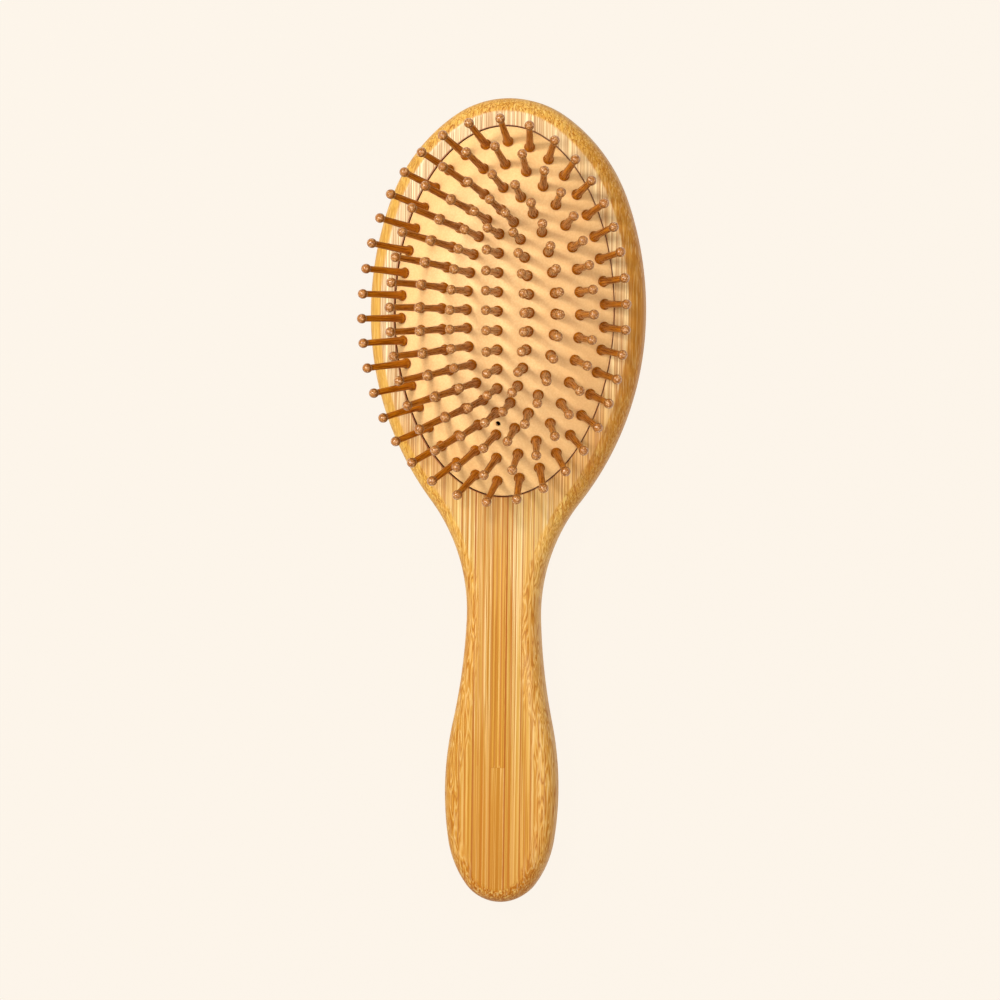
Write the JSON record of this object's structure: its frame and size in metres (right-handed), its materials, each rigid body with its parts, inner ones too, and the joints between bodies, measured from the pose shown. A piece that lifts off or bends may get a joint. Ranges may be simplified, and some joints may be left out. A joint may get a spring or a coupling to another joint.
{
  "type": "paddle hair brush",
  "caption": "Oval paddle hair brush: laminated bamboo board with a waisted handle, domed air cushion and ball-ended wooden pins.",
  "frame": {"origin": "bottom centre of the brush, on the flat back of the board, midway along its length", "axes": "+Z the way the middle pin points, +Y from the handle to the head, X across the width"},
  "size_m": [0.083, 0.24, 0.0389],
  "materials": {
    "bamboo_honey": "satin varnish",
    "bamboo_pale": "satin varnish",
    "bamboo_rose": "satin varnish",
    "cushion_rubber": "matte",
    "pin_wood": "gloss varnish"
  },
  "bodies": {
    "board": {"bamboo_strip_01": "bamboo_honey", "bamboo_strip_02": "bamboo_pale", "bamboo_strip_03": "bamboo_rose", "bamboo_strip_04": "bamboo_honey", "bamboo_strip_05": "bamboo_pale", "bamboo_strip_06": "bamboo_honey", "bamboo_strip_07_handle": "bamboo_rose", "bamboo_strip_07_head": "bamboo_rose", "bamboo_strip_08": "bamboo_pale", "bamboo_strip_09": "bamboo_honey", "bamboo_strip_10": "bamboo_rose", "bamboo_strip_10_handle_end": "bamboo_rose", "bamboo_strip_11": "bamboo_pale", "bamboo_strip_12": "bamboo_honey", "bamboo_strip_13": "bamboo_pale", "bamboo_strip_14_handle": "bamboo_rose", "bamboo_strip_14_head": "bamboo_rose", "bamboo_strip_15": "bamboo_honey", "bamboo_strip_16": "bamboo_pale", "bamboo_strip_17": "bamboo_rose", "bamboo_strip_18": "bamboo_honey", "bamboo_strip_19": "bamboo_pale", "bamboo_strip_20": "bamboo_honey"},
    "cushion": {"rubber_cushion": "cushion_rubber"},
    "row_01": {"pin_row_01": "pin_wood"},
    "row_02": {"pin_row_02": "pin_wood"},
    "row_03": {"pin_row_03": "pin_wood"},
    "row_04": {"pin_row_04": "pin_wood"},
    "row_05": {"pin_row_05": "pin_wood"},
    "row_06": {"pin_row_06": "pin_wood"},
    "row_07": {"pin_row_07": "pin_wood"},
    "row_08": {"pin_row_08": "pin_wood"},
    "row_09": {"pin_row_09": "pin_wood"},
    "row_10": {"pin_row_10": "pin_wood"},
    "row_11": {"pin_row_11": "pin_wood"},
    "row_12": {"pin_row_12": "pin_wood"},
    "row_13": {"pin_row_13": "pin_wood"},
    "row_14": {"pin_row_14": "pin_wood"},
    "row_15": {"pin_row_15": "pin_wood"},
    "row_16": {"pin_row_16": "pin_wood"},
    "row_17": {"pin_row_17": "pin_wood"},
    "row_18": {"pin_row_18": "pin_wood"},
    "row_19": {"pin_row_19": "pin_wood"},
    "row_20": {"pin_row_20": "pin_wood"},
    "row_21": {"pin_row_21": "pin_wood"},
    "row_22": {"pin_row_22": "pin_wood"},
    "row_23": {"pin_row_23": "pin_wood"},
    "row_24": {"pin_row_24": "pin_wood"},
    "row_25": {"pin_row_25": "pin_wood"}
  },
  "joints": [
    {"name": "cushion_press", "type": "slide", "parent": "board", "child": "cushion", "axis": [0, 0, 1], "range_m": [-0.0025, 0], "stiffness_N_per_m": 2500, "springref_m": 0.0006, "deforming": ["rubber_cushion"]},
    {"name": "lean_pin_row_01", "type": "hinge", "parent": "cushion", "child": "row_01", "pos_m": [0, 0.10585, 0.01287], "axis": [0.9986, -0.0533, 0], "range_deg": [-6, 6], "stiffness_Nm_per_rad": 0.15},
    {"name": "lean_pin_row_02", "type": "hinge", "parent": "cushion", "child": "row_02", "pos_m": [0, 0.1019, 0.01294], "axis": [0.9989, -0.047, 0], "range_deg": [-6, 6], "stiffness_Nm_per_rad": 0.1},
    {"name": "lean_pin_row_03", "type": "hinge", "parent": "cushion", "child": "row_03", "pos_m": [0, 0.09851, 0.01418], "axis": [0.9991, -0.0434, 0], "range_deg": [-6, 6], "stiffness_Nm_per_rad": 0.25},
    {"name": "lean_pin_row_04", "type": "hinge", "parent": "cushion", "child": "row_04", "pos_m": [0, 0.09342, 0.01635], "axis": [0.9988, -0.049, 0], "range_deg": [-6, 6], "stiffness_Nm_per_rad": 0.15},
    {"name": "lean_pin_row_05", "type": "hinge", "parent": "cushion", "child": "row_05", "pos_m": [0, 0.09026, 0.01519], "axis": [0.9992, -0.0405, 0], "range_deg": [-6, 6], "stiffness_Nm_per_rad": 0.3},
    {"name": "lean_pin_row_06", "type": "hinge", "parent": "cushion", "child": "row_06", "pos_m": [0, 0.08601, 0.01567], "axis": [0.9993, -0.038, 0], "range_deg": [-6, 6], "stiffness_Nm_per_rad": 0.25},
    {"name": "lean_pin_row_07", "type": "hinge", "parent": "cushion", "child": "row_07", "pos_m": [0, 0.0814, 0.01585], "axis": [0.9993, -0.037, 0], "range_deg": [-6, 6], "stiffness_Nm_per_rad": 0.4},
    {"name": "lean_pin_row_08", "type": "hinge", "parent": "cushion", "child": "row_08", "pos_m": [0, 0.07782, 0.01777], "axis": [0.9993, -0.0369, 0], "range_deg": [-6, 6], "stiffness_Nm_per_rad": 0.25},
    {"name": "lean_pin_row_09", "type": "hinge", "parent": "cushion", "child": "row_09", "pos_m": [0, 0.07376, 0.01632], "axis": [0.9994, -0.0348, 0], "range_deg": [-6, 6], "stiffness_Nm_per_rad": 0.35},
    {"name": "lean_pin_row_10", "type": "hinge", "parent": "cushion", "child": "row_10", "pos_m": [0, 0.06868, 0.0182], "axis": [0.9994, -0.035, 0], "range_deg": [-6, 6], "stiffness_Nm_per_rad": 0.35},
    {"name": "lean_pin_row_11", "type": "hinge", "parent": "cushion", "child": "row_11", "pos_m": [0, 0.06496, 0.01455], "axis": [0.9995, -0.0323, 0], "range_deg": [-6, 6], "stiffness_Nm_per_rad": 0.2},
    {"name": "lean_pin_row_12", "type": "hinge", "parent": "cushion", "child": "row_12", "pos_m": [0, 0.06134, 0.01646], "axis": [0.9995, -0.0327, 0], "range_deg": [-6, 6], "stiffness_Nm_per_rad": 0.35},
    {"name": "lean_pin_row_13", "type": "hinge", "parent": "cushion", "child": "row_13", "pos_m": [0, 0.05661, 0.0183], "axis": [0.9994, -0.0341, 0], "range_deg": [-6, 6], "stiffness_Nm_per_rad": 0.35},
    {"name": "lean_pin_row_14", "type": "hinge", "parent": "cushion", "child": "row_14", "pos_m": [0, 0.05187, 0.01647], "axis": [0.9995, -0.0329, 0], "range_deg": [-6, 6], "stiffness_Nm_per_rad": 0.35},
    {"name": "lean_pin_row_15", "type": "hinge", "parent": "cushion", "child": "row_15", "pos_m": [0, 0.04824, 0.01455], "axis": [0.9995, -0.0321, 0], "range_deg": [-6, 6], "stiffness_Nm_per_rad": 0.2},
    {"name": "lean_pin_row_16", "type": "hinge", "parent": "cushion", "child": "row_16", "pos_m": [0, 0.04452, 0.0182], "axis": [0.9994, -0.0354, 0], "range_deg": [-6, 6], "stiffness_Nm_per_rad": 0.35},
    {"name": "lean_pin_row_17", "type": "hinge", "parent": "cushion", "child": "row_17", "pos_m": [0, 0.03943, 0.01632], "axis": [0.9994, -0.0347, 0], "range_deg": [-6, 6], "stiffness_Nm_per_rad": 0.35},
    {"name": "lean_pin_row_18", "type": "hinge", "parent": "cushion", "child": "row_18", "pos_m": [0, 0.03539, 0.01778], "axis": [0.9993, -0.0368, 0], "range_deg": [-6, 6], "stiffness_Nm_per_rad": 0.25},
    {"name": "lean_pin_row_19", "type": "hinge", "parent": "cushion", "child": "row_19", "pos_m": [0, 0.03179, 0.01585], "axis": [0.9993, -0.0369, 0], "range_deg": [-6, 6], "stiffness_Nm_per_rad": 0.4},
    {"name": "lean_pin_row_20", "type": "hinge", "parent": "cushion", "child": "row_20", "pos_m": [0, 0.02718, 0.01567], "axis": [0.9993, -0.0381, 0], "range_deg": [-6, 6], "stiffness_Nm_per_rad": 0.25},
    {"name": "lean_pin_row_21", "type": "hinge", "parent": "cushion", "child": "row_21", "pos_m": [0, 0.02295, 0.0152], "axis": [0.9992, -0.0408, 0], "range_deg": [-6, 6], "stiffness_Nm_per_rad": 0.3},
    {"name": "lean_pin_row_22", "type": "hinge", "parent": "cushion", "child": "row_22", "pos_m": [0, 0.01979, 0.01635], "axis": [0.9988, -0.0491, 0], "range_deg": [-6, 6], "stiffness_Nm_per_rad": 0.15},
    {"name": "lean_pin_row_23", "type": "hinge", "parent": "cushion", "child": "row_23", "pos_m": [0, 0.0147, 0.01419], "axis": [0.999, -0.0436, 0], "range_deg": [-6, 6], "stiffness_Nm_per_rad": 0.25},
    {"name": "lean_pin_row_24", "type": "hinge", "parent": "cushion", "child": "row_24", "pos_m": [0, 0.01131, 0.01294], "axis": [0.9989, -0.0465, 0], "range_deg": [-6, 6], "stiffness_Nm_per_rad": 0.1},
    {"name": "lean_pin_row_25", "type": "hinge", "parent": "cushion", "child": "row_25", "pos_m": [0, 0.00734, 0.01287], "axis": [0.9987, -0.0518, 0], "range_deg": [-6, 6], "stiffness_Nm_per_rad": 0.15}
  ]
}
